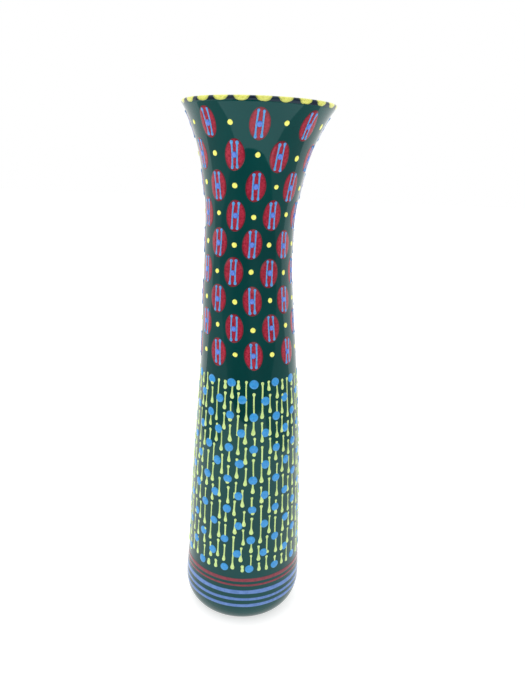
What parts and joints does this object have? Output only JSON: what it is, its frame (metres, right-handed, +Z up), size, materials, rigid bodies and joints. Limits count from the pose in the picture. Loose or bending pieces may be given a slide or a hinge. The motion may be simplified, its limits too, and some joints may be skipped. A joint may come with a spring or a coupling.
{
  "type": "vase",
  "caption": "Tall slender glazed pottery vase with a flared mouth, painted ovals above raised dots and slip drips, and rings near the foot; holds flowers.",
  "frame": {"origin": "centre of the foot, on the surface that the vase stands on", "axes": "+Z up along the vase, -Y towards the front that is seen, +X to that front's right"},
  "size_m": [0.1086, 0.1086, 0.4003],
  "materials": {
    "fired_clay": "matt",
    "dark_green_glaze": "gloss",
    "interior_green_glaze": "gloss",
    "navy_glaze": "gloss",
    "pale_yellow_glaze": "gloss",
    "crimson_glaze": "gloss",
    "light_blue_slip": "gloss",
    "violet_blue_slip": "gloss",
    "yellow_slip": "gloss",
    "sky_blue_slip": "gloss",
    "lime_slip": "gloss",
    "dull_red_glaze": "gloss",
    "dusty_blue_glaze": "gloss"
  },
  "bodies": {
    "root": {"clay_body": "fired_clay", "exterior_glaze": "dark_green_glaze", "interior_glaze": "interior_green_glaze", "rim_band": "navy_glaze", "rim_dabs": "pale_yellow_glaze", "oval_spots": "crimson_glaze", "oval_strokes": "light_blue_slip", "oval_beads": "violet_blue_slip", "yellow_dots": "yellow_slip", "sky_blue_dots": "sky_blue_slip", "slip_drips": "lime_slip", "red_band_wide": "dull_red_glaze", "red_band_narrow": "dull_red_glaze", "blue_band_upper": "dusty_blue_glaze", "blue_band_middle": "dusty_blue_glaze", "blue_band_lower": "dusty_blue_glaze"}
  },
  "joints": []
}
